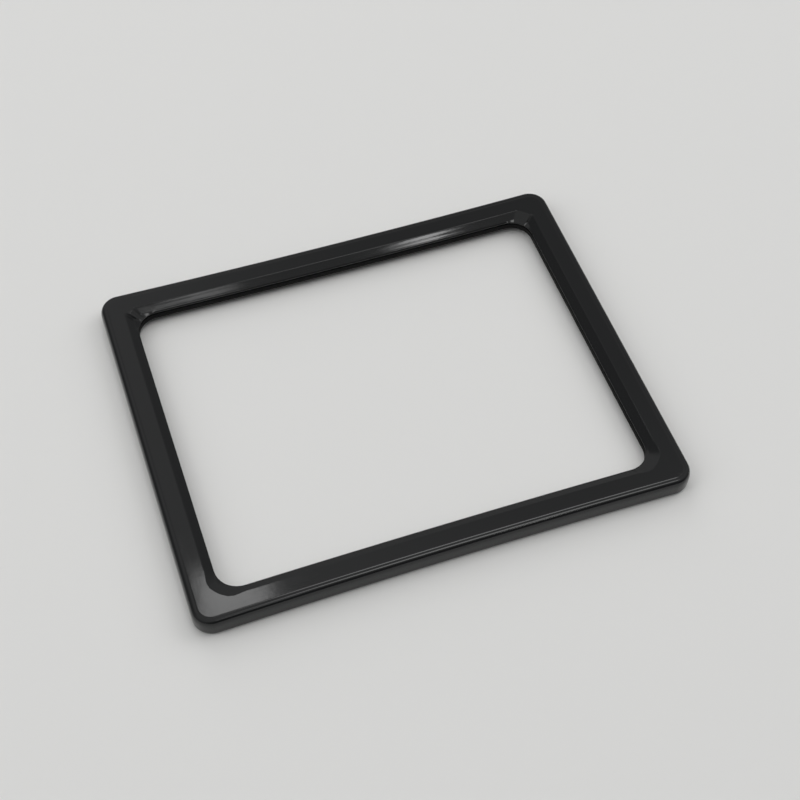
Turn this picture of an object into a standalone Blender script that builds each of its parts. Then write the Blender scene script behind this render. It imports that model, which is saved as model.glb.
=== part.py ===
"""Glassless negative carrier for one 4 x 5 in. sheet of film.

Two mouldings: a base frame that lies on the enlarger's stage and holds the sheet in a shallow
recess, and an upper frame, a hollow-backed shell, that drops over it and keeps the sheet flat.

Sizes are in millimetres and are multiplied by MM where they meet Blender, which works in metres.
X runs along the long side, Y along the short side, +Z up. The origin is at the centre of the
window, on the surface that the carrier lies on. A section is a list of (inset, height) points:
inset is the distance inwards from the edge line of the upper frame, seen from above.
"""

import math

import bmesh
import bpy

MM = 0.001

# Driving dimensions, all in millimetres.
EDGE_LENGTH = 132.2       # edge line round the flat face of the upper frame, along X
EDGE_WIDTH = 104.95       # the same, along Y
HEIGHT = 5.74             # table to the flat face
SHOULDER = 2.07           # how far the outer wall stands out past the edge line
SHOULDER_HEIGHT = 1.26    # height of the widest place of the outer wall
SHOULDER_SQUARENESS = 3.8  # 2 makes the shoulder an ellipse, more makes it squarer
WINDOW_INSET = 6.64       # edge line to the edge of the lip round the window
LIP_HEIGHT = 4.22         # table to the top of the lip
LIP_THICKNESS = 0.40
LIP_ROUNDING = 0.20       # broken edge along the top of the lip
LIP_UNDERCUT = 0.13       # how far the lip's own edge leans back at its underside
LIP_SHELF = 1.30          # flat underside of the lip, which presses on the film
BAND_WIDTH = 4.16         # flat face between the edge line and the inner chamfer
WALL = 1.45               # wall thickness of the upper frame
FOOT_ROUNDING = 0.45      # rounding under the outer wall
FOOT_LEAN = 0.10          # how far the outer wall leans back in at its foot
HOLLOW_FILLET = 0.60      # fillet in the hollow, between the outer wall and the face
EDGE_RADIUS = 3.4         # corner radius of the edge line
WINDOW_RADIUS = 6.3       # corner radius of the window
BOW = 0.74                # how far the middle of each long rail bends inwards
GAP = 0.30                # clearance between the two mouldings

LEDGE_INSET = 6.64        # edge line to the edge of the ledge that carries the film
LEDGE_UNDERSIDE = 2.00    # table to the underside of the ledge
FOOT_INSET = 4.60         # edge line to the inside of the base frame's foot
BASE_CHAMFER = 0.30       # broken edges outside the base frame
FILM_LENGTH = 127.0
FILM_WIDTH = 101.6
FILM_CLEARANCE = 0.15     # all round the sheet
FILM_RECESS_RADIUS = 1.2
FILM_RECESS_DEPTH = 0.36

CORNER_STEPS = 8          # facets round a quarter turn
SIDE_STEPS = 12           # facets along a bowed long rail
WALL_STEPS = 8            # facets up the curved outer wall


def corner_radius(inset):
    """Corner radius of the outline at an inset: outside it runs round the edge line at an even
    distance, and from the inner chamfer inwards it runs round the window at an even distance."""
    chamfer_radius = WINDOW_RADIUS + WINDOW_INSET - BAND_WIDTH
    if inset <= 0.0:
        return EDGE_RADIUS - inset
    if inset >= BAND_WIDTH:
        return WINDOW_RADIUS + WINDOW_INSET - inset
    return EDGE_RADIUS + (chamfer_radius - EDGE_RADIUS) * inset / BAND_WIDTH


def rounded_rectangle(half_length, half_width, radius):
    """Points of a rounded rectangle, anticlockwise from the +X side, long sides divided."""
    centre_x = half_length - radius
    centre_y = half_width - radius
    points = []
    for quarter, (sign_x, sign_y) in enumerate(((1, 1), (-1, 1), (-1, -1), (1, -1))):
        for step in range(CORNER_STEPS + 1):
            angle = math.radians(90.0) * (quarter + step / CORNER_STEPS)
            points.append((sign_x * centre_x + radius * math.cos(angle),
                           sign_y * centre_y + radius * math.sin(angle)))
        if sign_y == sign_x:
            start_x = sign_x * centre_x
            points += [(start_x - 2.0 * start_x * step / SIDE_STEPS, sign_y * half_width)
                       for step in range(1, SIDE_STEPS)]
    return points


def bowed(point):
    """Move a point of a long rail inwards, most at the middle of the rail and at its outside."""
    x, y = point
    share = abs(y) * y / (EDGE_WIDTH / 2.0) ** 2
    return x, y - share * BOW * (1.0 - (2.0 * x / EDGE_LENGTH) ** 2)


def outline(inset):
    """The frame's outline at an inset from the edge line, with the bow of the long rails."""
    points = rounded_rectangle(EDGE_LENGTH / 2.0 - inset, EDGE_WIDTH / 2.0 - inset,
                               corner_radius(inset))
    return [bowed(point) for point in points]


def film_outline():
    """The straight outline of the recess that the sheet of film lies in."""
    return rounded_rectangle(FILM_LENGTH / 2.0 + FILM_CLEARANCE,
                             FILM_WIDTH / 2.0 + FILM_CLEARANCE, FILM_RECESS_RADIUS)


def frame_mesh(name, rings):
    """Join rings of points, each an (outline, height) pair in order round the section, into one
    closed frame. The section runs up the outside, over the top and down the window side."""
    mesh = bmesh.new()
    loops = [[mesh.verts.new((x * MM, y * MM, height * MM)) for x, y in points]
             for points, height in rings]
    count = len(loops[0])
    for lower, upper in zip(loops, loops[1:] + loops[:1]):
        for i in range(count):
            j = (i + 1) % count
            mesh.faces.new((lower[i], lower[j], upper[j], upper[i]))
    bmesh.ops.recalc_face_normals(mesh, faces=mesh.faces)
    data = bpy.data.meshes.new(name)
    mesh.to_mesh(data)
    mesh.free()
    data.shade_smooth()
    data.set_sharp_from_angle(angle=math.radians(20.0))
    return data


def plastic(name, colour, roughness):
    material = bpy.data.materials.new(name)
    material.use_nodes = True
    shader = material.node_tree.nodes["Principled BSDF"]
    shader.inputs["Base Color"].default_value = (*colour, 1.0)
    shader.inputs["Roughness"].default_value = roughness
    shader.inputs["Metallic"].default_value = 0.0
    material.diffuse_color = (*colour, 1.0)
    return material


def add_part(name, mesh, material, parent):
    part = bpy.data.objects.new(name, mesh)
    part.data.materials.append(material)
    part.parent = parent
    bpy.context.scene.collection.objects.link(part)
    return part


def outer_wall():
    """The curved outer wall, from its widest place up to the edge line: a quarter of a
    superellipse, upright at the widest place and level at the edge line."""
    power = 2.0 / SHOULDER_SQUARENESS
    rise = HEIGHT - SHOULDER_HEIGHT
    points = []
    for step in range(WALL_STEPS):
        angle = math.radians(90.0) * (1.0 - step / WALL_STEPS)
        points.append((-SHOULDER * math.sin(angle) ** power,
                       SHOULDER_HEIGHT + rise * max(0.0, math.cos(angle)) ** power))
    return points


def upper_frame_section():
    """Up the outside, over the face and the chamfer, round the lip and back along the hollow."""
    skirt_inside = WALL - SHOULDER
    lip_under = LIP_HEIGHT - LIP_THICKNESS
    foot = [(skirt_inside, GAP),
            (FOOT_ROUNDING - SHOULDER, GAP),
            (FOOT_LEAN - SHOULDER, GAP + FOOT_ROUNDING)]
    top = [(0.0, HEIGHT),
           (BAND_WIDTH, HEIGHT)]
    lip = [(WINDOW_INSET - LIP_ROUNDING, LIP_HEIGHT),
           (WINDOW_INSET, LIP_HEIGHT - LIP_ROUNDING),
           (WINDOW_INSET - LIP_UNDERCUT, lip_under),
           (WINDOW_INSET - LIP_SHELF, lip_under)]
    hollow = [(BAND_WIDTH - HOLLOW_FILLET / 2.0, HEIGHT - WALL),
              (HOLLOW_FILLET / 2.0, HEIGHT - WALL),
              (skirt_inside, HEIGHT - WALL - HOLLOW_FILLET)]
    return foot + outer_wall() + top + lip + hollow


def upper_frame():
    rings = [(outline(inset), height) for inset, height in upper_frame_section()]
    return frame_mesh("upper_frame", rings)


def base_frame():
    """A foot, a rim round the recess for the film, and a ledge under the film's edge."""
    outside = WALL - SHOULDER + GAP
    floor = LIP_HEIGHT - LIP_THICKNESS - GAP
    rim = floor + FILM_RECESS_DEPTH
    rings = [(outline(outside + BASE_CHAMFER), 0.0),
             (outline(outside), BASE_CHAMFER),
             (outline(outside), rim - BASE_CHAMFER),
             (outline(outside + BASE_CHAMFER), rim),
             (film_outline(), rim),
             (film_outline(), floor),
             (outline(LEDGE_INSET), floor),
             (outline(LEDGE_INSET), LEDGE_UNDERSIDE),
             (outline(FOOT_INSET), LEDGE_UNDERSIDE),
             (outline(FOOT_INSET), 0.0)]
    return frame_mesh("base_frame", rings)


def main():
    for thing in list(bpy.data.objects):
        bpy.data.objects.remove(thing, do_unlink=True)
    carrier = bpy.data.objects.new("carrier", None)
    bpy.context.scene.collection.objects.link(carrier)
    lift = bpy.data.objects.new("upper_lift", None)
    lift.parent = carrier
    bpy.context.scene.collection.objects.link(lift)
    gloss_black = plastic("gloss_black_plastic", (0.020, 0.021, 0.022), 0.22)
    satin_black = plastic("satin_black_plastic", (0.016, 0.016, 0.017), 0.40)
    add_part("base_frame", base_frame(), satin_black, carrier)
    add_part("upper_frame", upper_frame(), gloss_black, lift)


main()
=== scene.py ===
"""Looks for the sheet-film negative carrier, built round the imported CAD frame.

The CAD solids are faceted. Here each moulding is made again as a fine mesh in the same place,
with rounded edges, the recessed corner patches of the inner chamfer and the slight waviness of a
moulded part, and gets its procedural plastic. Lengths in the named values are in millimetres and
are multiplied by MM where they meet Blender, which works in metres.
"""

import math

import bmesh
import bpy
import numpy as np
from mathutils import Matrix, Vector, noise


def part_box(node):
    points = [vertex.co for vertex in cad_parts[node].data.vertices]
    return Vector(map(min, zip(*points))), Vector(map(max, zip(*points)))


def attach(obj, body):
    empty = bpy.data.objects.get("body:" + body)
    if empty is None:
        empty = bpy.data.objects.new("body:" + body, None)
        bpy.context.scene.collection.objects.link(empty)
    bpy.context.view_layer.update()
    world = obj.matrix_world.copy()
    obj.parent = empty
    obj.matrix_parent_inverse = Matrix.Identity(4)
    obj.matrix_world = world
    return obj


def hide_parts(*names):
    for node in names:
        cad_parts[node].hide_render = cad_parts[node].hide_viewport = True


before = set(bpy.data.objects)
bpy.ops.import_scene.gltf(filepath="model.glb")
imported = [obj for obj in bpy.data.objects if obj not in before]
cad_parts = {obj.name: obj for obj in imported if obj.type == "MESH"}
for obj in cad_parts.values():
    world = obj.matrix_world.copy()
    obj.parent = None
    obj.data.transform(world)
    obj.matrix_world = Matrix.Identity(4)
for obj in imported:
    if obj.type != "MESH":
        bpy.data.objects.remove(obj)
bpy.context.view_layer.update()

MM = 0.001

# Sections of the two mouldings, as in the CAD except where a line says otherwise.
EDGE_WIDTH = 104.95       # edge line round the flat face, along Y
SHOULDER = 2.07           # the outer wall stands this far out past the edge line
SHOULDER_HEIGHT = 1.26
SHOULDER_SQUARENESS = 4.2  # the CAD's is 3.8; the difference moves the wall by under 0.1
WINDOW_INSET = 6.64       # edge line to the edge of the lip round the window
LIP_HEIGHT = 4.22
LIP_THICKNESS = 0.40
LIP_UNDERCUT = 0.13       # the lip's own edge leans back under it by this much
LIP_SHELF = 1.30
BAND_WIDTH = 4.16         # flat face between the edge line and the inner chamfer
WALL = 1.45
FOOT_ROUNDING = 0.45
FOOT_LEAN = 0.10
HOLLOW_FILLET = 0.60
EDGE_RADIUS = 3.4
WINDOW_RADIUS = 6.3
BOW = 0.74
GAP = 0.30
LEDGE_INSET = 6.64
LEDGE_UNDERSIDE = 2.00
FOOT_INSET = 4.60
FILM_LENGTH = 127.0
FILM_WIDTH = 101.6
FILM_CLEARANCE = 0.15
FILM_RECESS_RADIUS = 1.2
FILM_RECESS_DEPTH = 0.36

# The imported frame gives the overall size; the edge line follows from it.
LOW, HIGH = (Vector(corner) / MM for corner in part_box("upper_frame"))
HALF_LENGTH = (HIGH.x - LOW.x) / 2.0 - SHOULDER
HALF_WIDTH = EDGE_WIDTH / 2.0
HEIGHT = HIGH.z

# Detail that the CAD leaves out.
EDGE_STEP = 0.05          # the face stands this much above the shoulder, along the edge line
EDGE_STEP_WIDTH = 0.25    # the slope between them, seen from above
CHAMFER_FOOT = 0.42       # the chamfer ends this far from the edge of the lip
CHAMFER_FOOT_RISE = 0.34  # and this far above it
LIP_CROWN = 0.06          # height, above the lip, of the corner that the lip's rounding cuts off

# How far each rounding runs along the faces on either side of its corner.
STEP_ROUNDING = 0.04
EDGE_ROUNDING = 0.06
CREASE_ROUNDING = 0.12    # both ends of the inner chamfer
LIP_ROUNDING = 0.20
UNDERSIDE_ROUNDING = 0.10
HOLLOW_ROUNDING = 0.20
BASE_ROUNDING = 0.25      # outside of the base frame
RECESS_ROUNDING = 0.08
LEDGE_ROUNDING = 0.15     # the ledge's upper edge, and the foot's edge on the table
LEDGE_UNDER_ROUNDING = 0.06
FOOT_FILLET = 0.30        # between the foot and the ledge
ROUNDING_STEPS = 4        # edges round a rounding
ROUNDING_SHARE = 0.45     # the most of a line that the rounding at one end takes up

# Corner patches: in part of each corner the inner chamfer is cut wider and lower, between two
# small steps. Angles run from the long axis, about the centre of the window's corner arc.
PATCH_RADIUS = 10.0       # crease of the patch
PATCH_FOOT = 7.2          # where the patch reaches the height of the chamfer's foot
# Each patch: where it begins and ends, and the width of its steps, all in degrees.
PATCHES = {(1, 1): (34.0, 63.0, 3.5), (-1, 1): (42.0, 55.0, 3.5),
           (-1, -1): (20.0, 70.0, 39.0), (1, -1): (20.0, 70.0, 36.0)}

# Ripples along the rails in the inner chamfer, left by the tool that cut the mould.
CHAMFER_ROWS = 8          # rows across the chamfer
RIPPLE = 0.009            # height of the ripples
RIPPLE_LENGTH = 22.0
ROW_OFFSET = 3.7          # rows and rails read the noise this far apart, so that they differ
RAIL_OFFSET = 5.3
WAVE = 0.012              # height of the slow waves in the moulded faces
WAVE_LENGTH = 14.0

CORNER_STEP = 3.0         # degrees between columns in a corner
STEP_MARGIN = 0.5         # degrees beside a patch's step that other columns keep clear of
SIDE_STEP = 1.5           # mm between columns along a rail
WALL_STEPS = 22           # steps up the outer wall


def window_arc_centre():
    return Vector((HALF_LENGTH - WINDOW_INSET - WINDOW_RADIUS,
                   HALF_WIDTH - WINDOW_INSET - WINDOW_RADIUS))


def corner_angles(sign_x, sign_y):
    """Angles of a corner's columns, from 0 on the short rail to 90 on the long one, with extra
    columns at the patch's steps."""
    first, last, step = PATCHES[sign_x, sign_y]
    half = step / 2.0
    angles = set(np.arange(0.0, 90.0 + CORNER_STEP / 2.0, CORNER_STEP).tolist())
    for edge in (first, last):
        angles = {a for a in angles if abs(a - edge) > half + STEP_MARGIN}
        angles |= {edge - half, edge - half / 2.0, edge, edge + half / 2.0, edge + half}
    return sorted(angles)


def smooth_step(value):
    value = max(0.0, min(1.0, value))
    return value * value * (3.0 - 2.0 * value)


def patch_share(angle, sign_x, sign_y):
    """1 inside a corner's patch, 0 outside it, with a smooth step between."""
    first, last, step = PATCHES[sign_x, sign_y]
    rise = smooth_step((angle - first) / step + 0.5)
    fall = smooth_step((last - angle) / step + 0.5)
    return min(rise, fall)


class Column:
    """One cross-section of a frame: turns (inset, height) into a point in millimetres."""

    def __init__(self, sign_x, sign_y, angle=None, x=None, y=None):
        self.signs = Vector((sign_x, sign_y, 1.0))
        self.angle = angle
        self.x = x
        self.y = y
        self.patch = 0.0 if angle is None else patch_share(angle, sign_x, sign_y)

    def corner_point(self, inset, radius):
        direction = Vector((math.cos(math.radians(self.angle)), math.sin(math.radians(self.angle))))
        centre = Vector((HALF_LENGTH - inset - radius, HALF_WIDTH - inset - radius))
        return centre + direction * radius

    def plan(self, inset):
        if self.angle is None:
            if self.x is not None:
                return Vector((self.x, HALF_WIDTH - inset))
            return Vector((HALF_LENGTH - inset, self.y))
        if inset <= 0.0:
            return self.corner_point(inset, EDGE_RADIUS - inset)
        if inset >= BAND_WIDTH:
            return self.corner_point(inset, WINDOW_RADIUS + WINDOW_INSET - inset)
        crease_radius = WINDOW_RADIUS + WINDOW_INSET - BAND_WIDTH
        share = inset / BAND_WIDTH
        return self.corner_point(inset, EDGE_RADIUS + (crease_radius - EDGE_RADIUS) * share)

    def chamfer_plan(self, inset, patch_radius):
        """Like plan, but in a corner the straight chamfers run on to the patch's steps, and the
        patch has a radius of its own."""
        if self.angle is None:
            return self.plan(inset)
        angle = math.radians(self.angle)
        nominal = WINDOW_RADIUS + WINDOW_INSET - inset
        straight = nominal / max(math.cos(angle), math.sin(angle))
        radius = straight + (patch_radius - straight) * self.patch
        return window_arc_centre() + Vector((math.cos(angle), math.sin(angle))) * radius

    def place(self, plan, height):
        """Bow the point with its long rail and put it in its own quarter."""
        x, y = plan
        y -= (y / HALF_WIDTH) ** 2 * BOW * (1.0 - (x / HALF_LENGTH) ** 2)
        return Vector((x * self.signs.x, y * self.signs.y, height))


def frame_columns():
    """Columns all round a frame, anticlockwise from the middle of the +X rail."""
    columns = []
    start_x, start_y = window_arc_centre()
    side_x = np.linspace(0.0, start_x, round(start_x / SIDE_STEP) + 1)
    side_y = np.linspace(0.0, start_y, round(start_y / SIDE_STEP) + 1)
    for sign_x, sign_y in ((1, 1), (-1, 1), (-1, -1), (1, -1)):
        quarter = [Column(sign_x, sign_y, y=y) for y in side_y[:-1]]
        quarter += [Column(sign_x, sign_y, angle=a) for a in corner_angles(sign_x, sign_y)]
        quarter += [Column(sign_x, sign_y, x=x) for x in side_x[::-1][1:]]
        if sign_x != sign_y:
            quarter.reverse()
        columns += quarter[:-1]
    return columns


def wave(point):
    """Depth of the slow waves at a point, never above the nominal face."""
    return WAVE * (0.5 + 0.5 * noise.noise(point / WAVE_LENGTH))


def ripple(column, row):
    """Depth of the ripples along a rail: each row of the chamfer wanders on its own."""
    if column.angle is not None:
        return 0.0
    along = column.x if column.x is not None else column.y
    spot = Vector((along * column.signs.x / RIPPLE_LENGTH, row * ROW_OFFSET,
                   column.signs.y * RAIL_OFFSET))
    return RIPPLE * (0.5 + 0.5 * noise.noise(spot)) + wave(Vector((along, row, 0.0))) * 0.5


def rounded(points, lengths):
    """A closed polyline with each corner turned into a short curve. lengths says how far each
    curve runs along the lines on either side of its corner; 0 leaves the corner sharp."""
    out = []
    for i, (point, length) in enumerate(zip(points, lengths)):
        if length == 0.0:
            out.append(point)
            continue
        before, after = points[i - 1] - point, points[(i + 1) % len(points)] - point
        start = point + before.normalized() * min(length, before.length * ROUNDING_SHARE)
        end = point + after.normalized() * min(length, after.length * ROUNDING_SHARE)
        for step in range(ROUNDING_STEPS + 1):
            t = step / ROUNDING_STEPS
            out.append(start * (1 - t) ** 2 + point * (2 * t * (1 - t)) + end * t ** 2)
    return out


def upper_section(column):
    """The upper frame's section at a column, up the outside and back along the hollow."""
    skirt_inside = WALL - SHOULDER
    lip_under = LIP_HEIGHT - LIP_THICKNESS
    points, lengths = [], []

    def add(plan, height, rounding=0.0):
        points.append(column.place(plan, height))
        lengths.append(rounding)

    add(column.plan(skirt_inside), GAP, UNDERSIDE_ROUNDING)
    add(column.plan(-SHOULDER + FOOT_LEAN), GAP, FOOT_ROUNDING)
    power = 2.0 / SHOULDER_SQUARENESS
    rise = HEIGHT - EDGE_STEP - SHOULDER_HEIGHT
    for step in range(WALL_STEPS):
        angle = math.pi / 2.0 * (1.0 - step / WALL_STEPS)
        out = SHOULDER * math.sin(angle) ** power
        if out > 2.0 * EDGE_STEP_WIDTH:
            add(column.plan(-out), SHOULDER_HEIGHT + rise * max(0.0, math.cos(angle)) ** power)
    add(column.plan(-EDGE_STEP_WIDTH), HEIGHT - EDGE_STEP, STEP_ROUNDING)

    crease = column.chamfer_plan(BAND_WIDTH, PATCH_RADIUS)
    for share, rounding in ((0.0, EDGE_ROUNDING), (0.25, 0.0), (0.5, 0.0), (0.75, 0.0),
                            (1.0, CREASE_ROUNDING)):
        plan = column.plan(0.0).lerp(crease, share)
        add(plan, HEIGHT - wave(column.place(plan, HEIGHT)), rounding)
    foot = column.chamfer_plan(WINDOW_INSET - CHAMFER_FOOT, PATCH_FOOT)
    foot_height = LIP_HEIGHT + CHAMFER_FOOT_RISE
    for row in range(1, CHAMFER_ROWS):
        share = row / CHAMFER_ROWS
        plan = crease.lerp(foot, share)
        add(plan, HEIGHT + (foot_height - HEIGHT) * share - ripple(column, row))
    add(foot, foot_height, CREASE_ROUNDING)

    add(column.plan(WINDOW_INSET), LIP_HEIGHT + LIP_CROWN, LIP_ROUNDING)
    add(column.plan(WINDOW_INSET - LIP_UNDERCUT), lip_under, UNDERSIDE_ROUNDING)
    add(column.plan(WINDOW_INSET - LIP_SHELF), lip_under, UNDERSIDE_ROUNDING)
    add(column.plan(BAND_WIDTH - HOLLOW_FILLET / 2.0), HEIGHT - WALL, HOLLOW_ROUNDING)
    add(column.plan(HOLLOW_FILLET / 2.0), HEIGHT - WALL, HOLLOW_ROUNDING)
    add(column.plan(skirt_inside), HEIGHT - WALL - HOLLOW_FILLET, HOLLOW_ROUNDING)
    return rounded(points, lengths)


def base_section(column):
    """The base frame's section at a column: outside, recess for the film, ledge and foot."""
    outside = WALL - SHOULDER + GAP
    floor = LIP_HEIGHT - LIP_THICKNESS - GAP
    rim = floor + FILM_RECESS_DEPTH
    points = [column.place(column.plan(outside), 0.0), column.place(column.plan(outside), rim),
              film_point(column, rim), film_point(column, floor)]
    lengths = [BASE_ROUNDING, BASE_ROUNDING, RECESS_ROUNDING, RECESS_ROUNDING]
    for inset, height, rounding in ((LEDGE_INSET, floor, LEDGE_ROUNDING),
                                    (LEDGE_INSET, LEDGE_UNDERSIDE, LEDGE_UNDER_ROUNDING),
                                    (FOOT_INSET, LEDGE_UNDERSIDE, FOOT_FILLET),
                                    (FOOT_INSET, 0.0, LEDGE_ROUNDING)):
        points.append(column.place(column.plan(inset), height))
        lengths.append(rounding)
    return rounded(points, lengths)


def film_point(column, height):
    """The recess for the film is straight, whatever the rails do."""
    half_length = FILM_LENGTH / 2.0 + FILM_CLEARANCE
    half_width = FILM_WIDTH / 2.0 + FILM_CLEARANCE
    radius = FILM_RECESS_RADIUS
    if column.angle is None and column.x is not None:
        plan = Vector((column.x, half_width))
    elif column.angle is None:
        plan = Vector((half_length, column.y))
    else:
        angle = math.radians(column.angle)
        plan = Vector((half_length - radius + radius * math.cos(angle),
                       half_width - radius + radius * math.sin(angle)))
    return Vector((plan.x * column.signs.x, plan.y * column.signs.y, height))


def area_weighted_normals(data):
    """Vertex normals that follow the large faces, so that flat faces stay flat up to their
    rounded edges."""
    normals = np.zeros((len(data.vertices), 3))
    for polygon in data.polygons:
        for vertex in polygon.vertices:
            normals[vertex] += np.array(polygon.normal) * polygon.area
    lengths = np.linalg.norm(normals, axis=1, keepdims=True)
    return (normals / lengths).tolist()


def frame_object(name, section_of, material):
    """Skin a frame from its columns. UV maps run along the frame and across its section, in
    metres, so that patterns can follow the rails."""
    sections = [section_of(column) for column in frame_columns()]
    mesh = bmesh.new()
    loops = [[mesh.verts.new(point * MM) for point in section] for section in sections]
    uv_layer = mesh.loops.layers.uv.new("along_rail")
    count = len(loops[0])
    along = 0.0
    for i, loop in enumerate(loops):
        next_loop = loops[(i + 1) % len(loops)]
        middle = count // 2
        length = (next_loop[middle].co - loop[middle].co).length
        across = 0.0
        for j in range(count):
            k = (j + 1) % count
            width = (loop[k].co - loop[j].co).length
            face = mesh.faces.new((loop[j], next_loop[j], next_loop[k], loop[k]))
            corners = ((along, across), (along + length, across),
                       (along + length, across + width), (along, across + width))
            for face_loop, corner in zip(face.loops, corners):
                face_loop[uv_layer].uv = corner
            across += width
        along += length
    bmesh.ops.recalc_face_normals(mesh, faces=mesh.faces)
    data = bpy.data.meshes.new(name)
    mesh.to_mesh(data)
    mesh.free()
    data.shade_smooth()
    data.normals_split_custom_set_from_vertices(area_weighted_normals(data))
    data.materials.append(material)
    piece = bpy.data.objects.new(name, data)
    bpy.context.scene.collection.objects.link(piece)
    return piece


def add_node(tree, kind, **inputs):
    node = tree.nodes.new(kind)
    for name, value in inputs.items():
        node.inputs[name.replace("_", " ")].default_value = value
    return node


def noise_node(tree, coordinates, scale, detail=2.0):
    node = add_node(tree, "ShaderNodeTexNoise", Scale=scale, Detail=detail)
    tree.links.new(coordinates, node.inputs["Vector"])
    return node.outputs["Fac"]


def ranged(tree, value, low, high, to_low, to_high):
    node = add_node(tree, "ShaderNodeMapRange", From_Min=low, From_Max=high, To_Min=to_low,
                    To_Max=to_high)
    tree.links.new(value, node.inputs["Value"])
    return node.outputs["Result"]


# Scales of the patterns in the plastic, and how convex an edge is where wear begins and is full.
RAIL_MARKS_SCALE = (60.0, 2600.0, 1.0)
WEAR_SCALE = 320.0
GLOSS_SCALE = 90.0
PEEL_SCALE = 900.0
SWEEP_SCALE = 160.0
WORN_EDGE = (0.53, 0.62)


def plastic(name, colour, worn, roughness, specular, peel):
    """Moulded plastic: orange peel, patchy gloss, fine handling marks along the rails and edges
    rubbed a little paler. Roughness is a (low, high) pair; peel is the relief in metres."""
    material = bpy.data.materials.new(name)
    material.use_nodes = True
    tree = material.node_tree
    shader = tree.nodes["Principled BSDF"]
    shader.inputs["Specular IOR Level"].default_value = specular
    position = tree.nodes.new("ShaderNodeTexCoord").outputs["Object"]
    rails = add_node(tree, "ShaderNodeMapping", Scale=RAIL_MARKS_SCALE)
    tree.links.new(tree.nodes.new("ShaderNodeUVMap").outputs["UV"], rails.inputs["Vector"])

    geometry = tree.nodes.new("ShaderNodeNewGeometry")
    wear = ranged(tree, geometry.outputs["Pointiness"], *WORN_EDGE, 0.0, 1.0)
    blotches = ranged(tree, noise_node(tree, position, WEAR_SCALE, 4.0), 0.45, 0.65, 0.0, 1.0)
    worn_edges = tree.nodes.new("ShaderNodeMath")
    worn_edges.operation = "MULTIPLY"
    tree.links.new(wear, worn_edges.inputs[0])
    tree.links.new(blotches, worn_edges.inputs[1])
    mix = tree.nodes.new("ShaderNodeMix")
    mix.data_type = "RGBA"
    mix.inputs["A"].default_value = (*colour, 1.0)
    mix.inputs["B"].default_value = (*worn, 1.0)
    tree.links.new(worn_edges.outputs["Value"], mix.inputs["Factor"])
    tree.links.new(mix.outputs["Result"], shader.inputs["Base Color"])

    low, high = roughness
    gloss = ranged(tree, noise_node(tree, position, GLOSS_SCALE, 3.0), 0.35, 0.65, low, high)
    streaks = ranged(tree, noise_node(tree, rails.outputs["Vector"], 1.0), 0.55, 0.8, 0.0, 0.04)
    total = tree.nodes.new("ShaderNodeMath")
    total.operation = "ADD"
    tree.links.new(gloss, total.inputs[0])
    tree.links.new(streaks, total.inputs[1])
    tree.links.new(total.outputs["Value"], shader.inputs["Roughness"])

    relief = tree.nodes.new("ShaderNodeBump")
    relief.inputs["Distance"].default_value = peel
    tree.links.new(noise_node(tree, position, PEEL_SCALE), relief.inputs["Height"])
    sweep = tree.nodes.new("ShaderNodeBump")
    sweep.inputs["Distance"].default_value = peel * 4.0
    tree.links.new(noise_node(tree, position, SWEEP_SCALE), sweep.inputs["Height"])
    tree.links.new(relief.outputs["Normal"], sweep.inputs["Normal"])
    tree.links.new(sweep.outputs["Normal"], shader.inputs["Normal"])
    return material


# The table: how far it reaches from its centre, in metres, and its colour.
TABLE_REACH = 2.0
TABLE_COLOUR = (0.80, 0.80, 0.79)


def add_floor():
    data = bpy.data.meshes.new("floor")
    mesh = bmesh.new()
    bmesh.ops.create_grid(mesh, x_segments=1, y_segments=1, size=TABLE_REACH)
    mesh.to_mesh(data)
    mesh.free()
    floor = bpy.data.objects.new("floor", data)
    bpy.context.scene.collection.objects.link(floor)
    material = bpy.data.materials.new("pale_table")
    material.use_nodes = True
    shader = material.node_tree.nodes["Principled BSDF"]
    shader.inputs["Base Color"].default_value = (*TABLE_COLOUR, 1.0)
    shader.inputs["Roughness"].default_value = 0.6
    shader.inputs["Specular IOR Level"].default_value = 0.2
    floor.data.materials.append(material)


def aim(thing, position, target):
    thing.location = position
    thing.rotation_euler = (Vector(target) - Vector(position)).to_track_quat("-Z", "Y").to_euler()


def add_light(name, position, size, power, in_reflections):
    """A square soft light that faces the carrier. A light that isn't in reflections lights dull
    surfaces only."""
    light = bpy.data.lights.new(name, "AREA")
    light.shape = "SQUARE"
    light.size = size
    light.energy = power
    lamp = bpy.data.objects.new(name, light)
    bpy.context.scene.collection.objects.link(lamp)
    aim(lamp, position, (0.0, 0.0, 0.0))
    lamp.visible_glossy = in_reflections


def add_world(base, lobes):
    """A soft surround: an even brightness, with patches that are brighter or darker."""
    world = bpy.data.worlds.new("studio")
    world.use_nodes = True
    tree = world.node_tree
    coordinates = tree.nodes.new("ShaderNodeTexCoord")
    total = None
    for direction, radius, falloff, amount in lobes:
        toward = tree.nodes.new("ShaderNodeVectorMath")
        toward.operation = "DOT_PRODUCT"
        toward.inputs[1].default_value = Vector(direction).normalized()
        tree.links.new(coordinates.outputs["Generated"], toward.inputs[0])
        shape = tree.nodes.new("ShaderNodeMapRange")
        shape.interpolation_type = "SMOOTHSTEP"
        shape.inputs["From Min"].default_value = math.cos(math.radians(radius + falloff))
        shape.inputs["From Max"].default_value = math.cos(math.radians(max(radius, 0.1)))
        shape.inputs["To Max"].default_value = amount
        tree.links.new(toward.outputs["Value"], shape.inputs["Value"])
        add = tree.nodes.new("ShaderNodeMath")
        add.operation = "ADD"
        add.inputs[0].default_value = base
        if total is not None:
            tree.links.new(total, add.inputs[0])
        tree.links.new(shape.outputs["Result"], add.inputs[1])
        total = add.outputs["Value"]
    background = tree.nodes["Background"]
    background.inputs["Color"].default_value = (1.0, 1.0, 0.995, 1.0)
    tree.links.new(total, background.inputs["Strength"])
    bpy.context.scene.world = world


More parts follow.
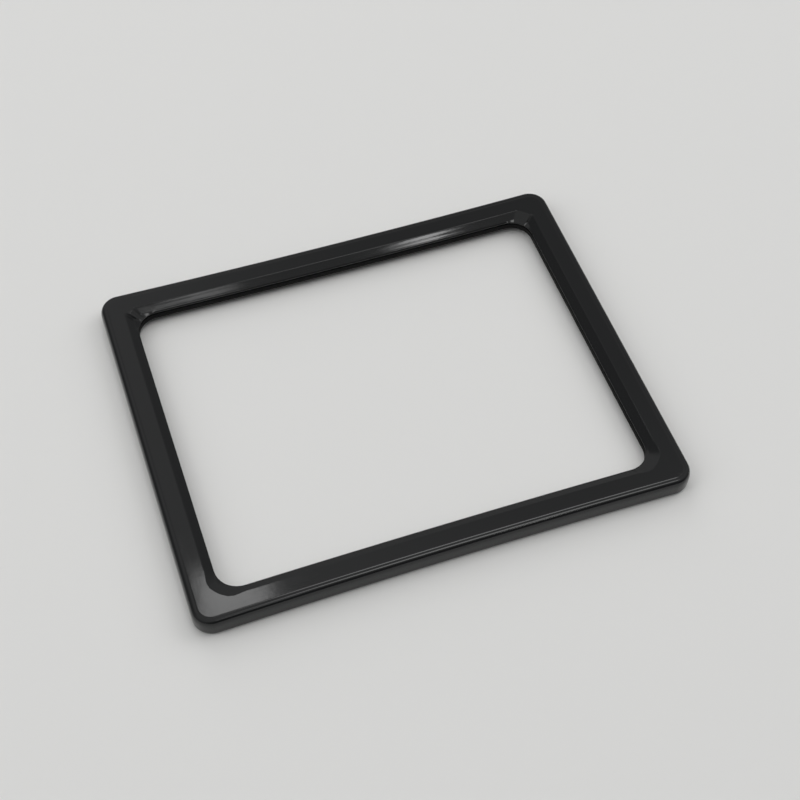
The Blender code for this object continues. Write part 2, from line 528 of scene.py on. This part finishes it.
# Surround: how bright it is all round, and where it is brighter or darker. Each lobe is
# (direction, radius and falloff in degrees, amount added).
SURROUND = 0.30
SURROUND_LOBES = [
    ((0.0, 0.30, 0.95), 20.0, 50.0, 0.23),        # pale ceiling
    ((0.24, 0.10, 0.965), 5.0, 7.0, 2.6),         # small bright ceiling light
    ((0.20, -0.87, 0.45), 20.0, 35.0, -0.20),     # dark side of the room, behind the camera
    ((-0.52, 0.52, 0.68), 6.0, 20.0, -0.30),      # darker far left
    ((0.34, 0.60, 0.73), 2.0, 16.0, -0.25),       # darker far right
    ((0.80, 0.53, 0.22), 6.0, 14.0, -0.12),       # darker low on the right
]
# Lamps: position, size, power, and whether glossy surfaces mirror it.
LIGHTS = {
    "ceiling": ((-0.10, 0.30, 1.5), 2.0, 3.3, False),
    "window_left": ((-1.35, 0.15, 1.0), 1.2, 6.6, False),
    "window_right": ((1.35, 0.25, 1.0), 1.2, 6.9, False),
    "window_far": ((0.0, 1.50, 0.75), 1.1, 5.0, False),
    "lamp_right": ((0.418, -0.52, 1.36), 0.08, 0.14, True),
    "lamp_left": ((0.067, -0.555, 1.38), 0.14, 0.13, True),
    "lamp_far": ((0.035, 0.637, 1.345), 0.09, 0.088, True),
}

# The view of the reference picture.
CAMERA_AZIMUTH = -21.08
CAMERA_ELEVATION = 55.18
CAMERA_ROLL = 2.06
CAMERA_DISTANCE = 0.4044
CAMERA_TARGET = Vector((0.00340, -0.00214, 0.0))
CAMERA_LENS = 65.8


def add_camera():
    azimuth, elevation = math.radians(CAMERA_AZIMUTH), math.radians(CAMERA_ELEVATION)
    back = Vector((math.sin(azimuth) * math.cos(elevation),
                   -math.cos(azimuth) * math.cos(elevation), math.sin(elevation)))
    right = Vector((0.0, 0.0, 1.0)).cross(back).normalized()
    turn = Matrix.Rotation(math.radians(CAMERA_ROLL), 3, back)
    right = turn @ right
    up = back.cross(right)
    camera = bpy.data.objects.new("camera", bpy.data.cameras.new("camera"))
    bpy.context.scene.collection.objects.link(camera)
    camera.data.lens = CAMERA_LENS
    camera.data.sensor_width = 36.0
    camera.data.clip_start = 0.01
    rotation = Matrix((right, up, back)).transposed()
    place = Matrix.Translation(CAMERA_TARGET + back * CAMERA_DISTANCE)
    camera.matrix_world = place @ rotation.to_4x4()
    bpy.context.scene.camera = camera


def main():
    gloss = plastic("gloss_black_plastic", colour=(0.007, 0.0075, 0.008),
                    worn=(0.03, 0.03, 0.03), roughness=(0.05, 0.09), specular=0.5,
                    peel=0.0000015)
    matt = plastic("matt_black_plastic", colour=(0.010, 0.010, 0.010),
                   worn=(0.03, 0.03, 0.03), roughness=(0.55, 0.7), specular=0.07,
                   peel=0.000008)
    upper = frame_object("upper_shell", upper_section, gloss)
    base = frame_object("base_tray", base_section, matt)
    for piece, node, body, slot in ((upper, "upper_frame", "upper", "upper_plastic"),
                                    (base, "base_frame", "base", "base_plastic")):
        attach(piece, body)
        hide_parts(node)
    add_floor()
    add_world(SURROUND, SURROUND_LOBES)
    for name, (position, size, power, in_reflections) in LIGHTS.items():
        add_light(name, position, size, power, in_reflections)
    add_camera()
    bpy.context.scene.view_settings.view_transform = "Standard"


main()
